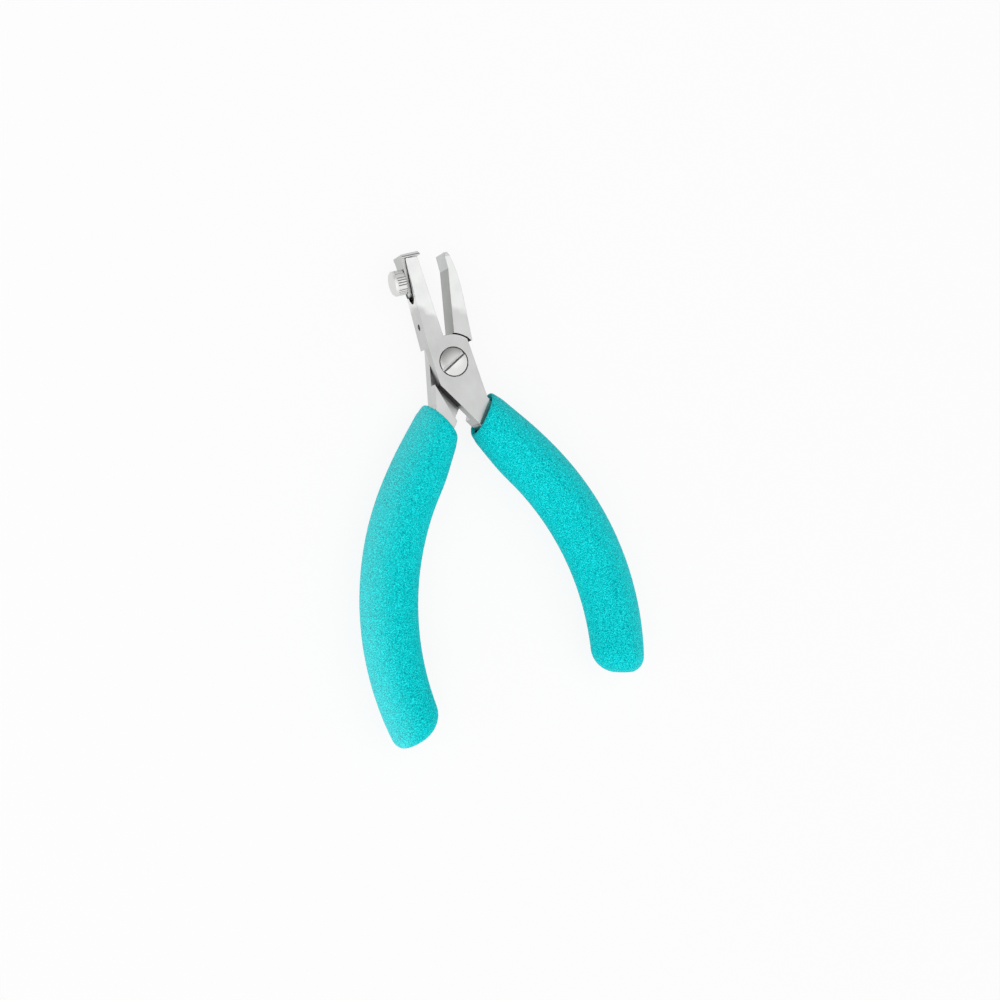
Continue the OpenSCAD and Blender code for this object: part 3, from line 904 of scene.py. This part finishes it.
    def _draw_tube(self) -> bpy.types.Object:
        """Extrudes a circle along the stations and closes both ends.

        Returns:
            The tube, in place.
        """
        deselect_all()
        rings = self._stations()
        bpy.ops.mesh.primitive_circle_add(vertices=self.ring_sides, radius=MM, fill_type="NGON")
        piece = bpy.context.object
        piece.name = f"{self.side.name.lower()}_foam_sleeve"
        bpy.ops.object.mode_set(mode="EDIT")
        bpy.ops.mesh.select_all(action="SELECT")
        bpy.ops.transform.rotate(value=math.pi / 2.0, orient_axis="X", center_override=(0.0, 0.0, 0.0))
        place, facing, half_w, half_t = Vector(), 0.0, 1.0, 1.0
        for index, ring in enumerate(rings):
            fade = max(0.0, 1.0 - ring.along / self.slant_l)
            slant = math.atan(math.tan(math.radians(self.mouth_slant)) * fade)
            lean = math.radians(self.tang_lean) - self._turn(self.start + ring.along)
            inward = Vector((-math.cos(lean), -math.sin(lean), 0.0))
            centre = self._centre(self.start + ring.along) + inward * ring.shift
            turned = lean + slant
            wide = ring.half_w / math.cos(slant)
            step = (centre - place) * MM
            if index:
                bpy.ops.mesh.extrude_region_move(TRANSFORM_OT_translate={"value": step})
            else:
                bpy.ops.transform.translate(value=step)
            middle = centre * MM
            bpy.ops.transform.rotate(value=-(turned - facing), orient_axis="Z", center_override=middle)
            stretch = wide / half_w
            bpy.ops.transform.resize(value=(stretch, stretch, ring.half_t / half_t), center_override=middle)
            place, facing, half_w, half_t = centre, turned, wide, ring.half_t
        bpy.ops.mesh.select_all(action="SELECT")
        if self.side is Side.LEFT:
            bpy.ops.transform.resize(value=(-1.0, 1.0, 1.0), center_override=(0.0, 0.0, 0.0))
        bpy.ops.mesh.normals_make_consistent(inside=False)
        bpy.ops.object.mode_set(mode="OBJECT")
        return piece

    def _dress_bore(self, piece: bpy.types.Object) -> None:
        """Gives the bore its darker, unlit foam."""
        bore_corners = (self.bore_rings + self.bore_lip) * self.ring_sides
        paint_faces(piece, 1, lambda face: max(face.vertices) < bore_corners)

    def _mark_outer_side(self, piece: bpy.types.Object) -> None:
        """Marks each point with its place across the bend, from -1 inside to 1 outside.

        Args:
            piece: The sleeve.
        """
        marks = piece.data.attributes.new(OUTER_SIDE, "FLOAT", "POINT")
        points = piece.data.vertices
        for first in range(0, len(points), self.ring_sides):
            ring = points[first:first + self.ring_sides]
            middle = sum((point.co for point in ring), Vector()) / len(ring)
            arms = [(point.co - middle).xy for point in ring]
            reach = max(arm.length for arm in arms)
            for point, arm in zip(ring, arms):
                marks.data[point.index].value = math.copysign(arm.length / reach, arm.x * self.side.value)

    def _swell_surface(self, piece: bpy.types.Object) -> None:
        """Rounds the tube and roughens it with small swellings.

        Args:
            piece: The sleeve.
        """
        rounding = piece.modifiers.new("rounding", "SUBSURF")
        rounding.levels = rounding.render_levels = self.rounding_levels
        cells = bpy.data.textures.new(f"{piece.name}_cells", "CLOUDS")
        cells.noise_scale = self.cell_size * MM
        cells.noise_depth = self.cell_depth
        swelling = piece.modifiers.new("swellings", "DISPLACE")
        swelling.texture = cells
        swelling.texture_coords = "LOCAL"
        swelling.strength = self.cell_rise * MM
        swelling.mid_level = 0.5
        apply_modifiers(piece)
        make_active(piece)
        bpy.ops.object.shade_smooth()


@dataclass(frozen=True)
class Lamp:
    """A square soft lamp: where it hangs and its side in metres, and its power in watts."""

    name: str
    place: Colour
    size: float
    power: float

    def build(self) -> None:
        """Hangs the lamp, aimed at the joint."""
        light = bpy.data.lights.new(self.name, "AREA")
        light.energy = self.power
        light.size = self.size
        holder = bpy.data.objects.new(self.name, light)
        holder.location = self.place
        holder.rotation_euler = Vector(self.place).to_track_quat("Z", "Y").to_euler()
        bpy.context.scene.collection.objects.link(holder)


@dataclass
class Studio:
    """Pale floor, soft lamps and a camera at the viewing angle. Sizes are in metres."""

    eye: Colour = (-0.161985, -0.037267, 0.476368)
    turn_deg: Colour = (4.21003, -19.09574, -12.23577)
    lens: float = 71.99
    sensor: float = 36.0
    clip_start: float = 0.01
    lamps: tuple[Lamp, ...] = (
        Lamp("front_lamp", (0.34, 0.22, 0.84), 0.8, 0.5),
        Lamp("left_lamp", (-0.80, -0.15, 0.50), 1.5, 6.2),
    )
    floor_half: float = 1.5
    floor_drop: float = 0.0002
    floor_white: float = 0.86
    floor_roughness: float = 0.9
    floor_glow: float = 0.88
    bright_side: Colour = (0.35, -0.75, 0.55)
    world_from: float = -0.15
    world_to: float = 0.7
    world_low: float = 0.30
    world_high: float = 1.0

    def build(self, lowest: float) -> None:
        """Sets up the whole studio.

        Args:
            lowest: Height of the object's lowest point.
        """
        bpy.context.scene.view_settings.view_transform = "Standard"
        self._floor(lowest - self.floor_drop)
        self._world()
        for lamp in self.lamps:
            lamp.build()
        self._camera()

    def _floor(self, height: float) -> None:
        """Adds the floor, white to the eye with a soft shadow left in it.

        Args:
            height: Height of the floor.
        """
        deselect_all()
        bpy.ops.mesh.primitive_plane_add(size=2.0 * self.floor_half, location=(0.0, 0.0, height))
        floor = bpy.context.object
        floor.name = "studio_floor"
        graph = NodeGraph("floor_white")
        graph.shader.inputs["Base Color"].default_value = (self.floor_white,) * 3 + (1.0,)
        graph.shader.inputs["Roughness"].default_value = self.floor_roughness
        glow = graph.add("ShaderNodeEmission", Strength=1.0)
        path = graph.add("ShaderNodeLightPath")
        seen = graph.add("ShaderNodeMath", operation="MAXIMUM")
        graph.link(path, "Is Camera Ray", seen, 0)
        graph.link(path, "Is Glossy Ray", seen, 1)
        share = graph.scaled(seen, self.floor_glow)
        mix = graph.add("ShaderNodeMixShader")
        graph.link(share, 0, mix, "Fac")
        graph.link(graph.shader, "BSDF", mix, 1)
        graph.link(glow, "Emission", mix, 2)
        graph.link(mix, "Shader", graph.output, "Surface")
        floor.data.materials.append(graph.material)
        floor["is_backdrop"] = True

    def _world(self) -> None:
        """Lights everything from a white surround that fades away from its bright side."""
        world = bpy.data.worlds.new("white_surround")
        bpy.context.scene.world = world
        world.use_nodes = True
        tree = world.node_tree
        background = tree.nodes["Background"]
        background.inputs["Color"].default_value = (1.0, 1.0, 1.0, 1.0)
        place = tree.nodes.new("ShaderNodeTexCoord")
        toward = tree.nodes.new("ShaderNodeVectorMath")
        toward.operation = "DOT_PRODUCT"
        toward.inputs[1].default_value = Vector(self.bright_side).normalized()
        fade = tree.nodes.new("ShaderNodeMapRange")
        fade.interpolation_type = "SMOOTHSTEP"
        fade.inputs["From Min"].default_value = self.world_from
        fade.inputs["From Max"].default_value = self.world_to
        fade.inputs["To Min"].default_value = self.world_low
        fade.inputs["To Max"].default_value = self.world_high
        tree.links.new(place.outputs["Generated"], toward.inputs[0])
        tree.links.new(toward.outputs["Value"], fade.inputs["Value"])
        tree.links.new(fade.outputs["Result"], background.inputs["Strength"])

    def _camera(self) -> None:
        """Adds the camera and makes it the scene's own."""
        camera = bpy.data.cameras.new("photo_camera")
        camera.lens = self.lens
        camera.sensor_width = self.sensor
        camera.sensor_fit = "HORIZONTAL"
        camera.clip_start = self.clip_start
        holder = bpy.data.objects.new("photo_camera", camera)
        holder.location = self.eye
        holder.rotation_euler = [math.radians(a) for a in self.turn_deg]
        bpy.context.scene.collection.objects.link(holder)
        bpy.context.scene.camera = holder


REAR_REGIONS = (
    FaceRegion(SHADED_RELIEF_STEEL, (-0.993, 0.1175, 0.0), (-1.2, 0.0), (5.0, 23.5)),
    FaceRegion(FLAT_STEEL, (-0.9976, -0.0698, 0.0), (-6.5, -3.0), (23.0, 28.0)),
    FaceRegion(SHADED_LAP_STEEL, (0.0, 0.0, 1.0), (3.2, 3.6), (-20.0, 10.0)),
    FaceRegion(TIP_STEEL, (0.0, 0.447, 0.894), (15.0, 20.0), (26.0, 28.0)),
    FaceRegion(GAP_SHADE_STEEL, (-0.45, -0.89, 0.0), (-7.4, -4.8), (3.9, 7.4), 0.7),
)
FRONT_REGIONS = (
    FaceRegion(SHADED_INNER_EDGE_STEEL, (-0.811, -0.585, 0.0), (6.5, 7.0), (-20.0, 0.0)),
    FaceRegion(SHADED_CORNER_STEEL, (-0.9943, -0.1063, 0.0), (5.0, 5.4), (-8.0, 4.0)),
    FaceRegion(GAP_SHADE_STEEL, (-0.998, -0.0628, 0.0), (4.3, 4.8), (12.0, 30.0)),
    FaceRegion(GAP_SHADE_STEEL, (0.0, 0.0, 1.0), (0.0, 1.9), (12.0, 30.0), 0.9),
    FaceRegion(GAP_SHADE_STEEL, (0.0, 1.0, 0.0), (17.0, 21.0), (17.0, 21.0), 0.3),
)
BLADE_REGIONS = (
    FaceRegion(SHADED_TONGUE_SIDE_STEEL, (0.0, 0.0, 1.0), (4.0, 6.9), (18.0, 27.4), 0.9),
    FaceRegion(HOOK_STEEL, (0.0, 0.0, 1.0), (6.9, 7.1), (26.5, 29.0)),
)
HEAD_REGIONS = (
    FaceRegion(SLOT_STEEL, (0.0, 0.0, 1.0), (6.3, 6.5), (-4.0, 4.0)),
    FaceRegion(GAP_SHADE_STEEL, (-0.515, 0.857, 0.0), (-0.6, -0.3), (-4.0, 4.0)),
    FaceRegion(GAP_SHADE_STEEL, (-0.8, -0.6, 0.0), (2.05, 4.2), (-4.0, 4.0), 0.6),
)
THUMB_REGIONS = (
    FaceRegion(KNURL_STEEL, (-0.998, -0.0628, 0.0), (6.1, 9.4), (15.0, 30.0), -0.35, 0.35),
)
STEEL_PIECES = [
    SteelPiece("rear_lever", "rear_lever_steel", Body.REAR, "satin_steel", REAR_STEEL, 0.12 * MM, REAR_REGIONS),
    SteelPiece("front_lever", "front_lever_steel", Body.FRONT, "satin_steel", FRONT_STEEL, 0.12 * MM, FRONT_REGIONS),
    SteelPiece("hook_blade", "hook_blade_steel", Body.HOOK, "blade_steel", BLADE_STEEL, 0.05 * MM, BLADE_REGIONS),
    SteelPiece("pivot_screw", "pivot_screw_steel", Body.REAR, "screw_steel", HEAD_STEEL, 0.08 * MM, HEAD_REGIONS),
    SteelPiece("thumb_screw", "thumb_screw_steel", Body.THUMB, "screw_steel", THUMB_STEEL, 0.04 * MM, THUMB_REGIONS),
    SteelPiece("stop_screw", "stop_screw_steel", Body.FRONT, "spring_steel", DARK_STEEL, 0.04 * MM),
]
SLEEVES = [
    FoamSleeve(Side.LEFT, "left_sleeve", Body.REAR, 82.4, 2.8, LEFT_FOAM),
    FoamSleeve(Side.RIGHT, "right_sleeve", Body.FRONT, 77.4, 3.8, RIGHT_FOAM),
]


def corners(box: tuple[Vector, Vector]) -> list[list[float]]:
    """Returns a box's two corners as plain lists."""
    return [list(corner) for corner in box]


def main() -> None:
    """Builds every piece around the frame, then the studio."""
    logging.basicConfig(level=logging.INFO, format="%(name)s: %(message)s")
    cad_box = corners(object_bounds())
    Studio().build(cad_box[0][2])
    for part in [*STEEL_PIECES, *SLEEVES]:
        piece = part.build()
        LOG.info("%s has %d faces", piece.name, len(piece.data.polygons))
    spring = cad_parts["return_spring"]
    spring.data.materials.clear()
    spring.data.materials.append(DARK_STEEL.build())
    LOG.info("%s keeps its solid", spring.name)


if __name__ == "__main__":
    main()
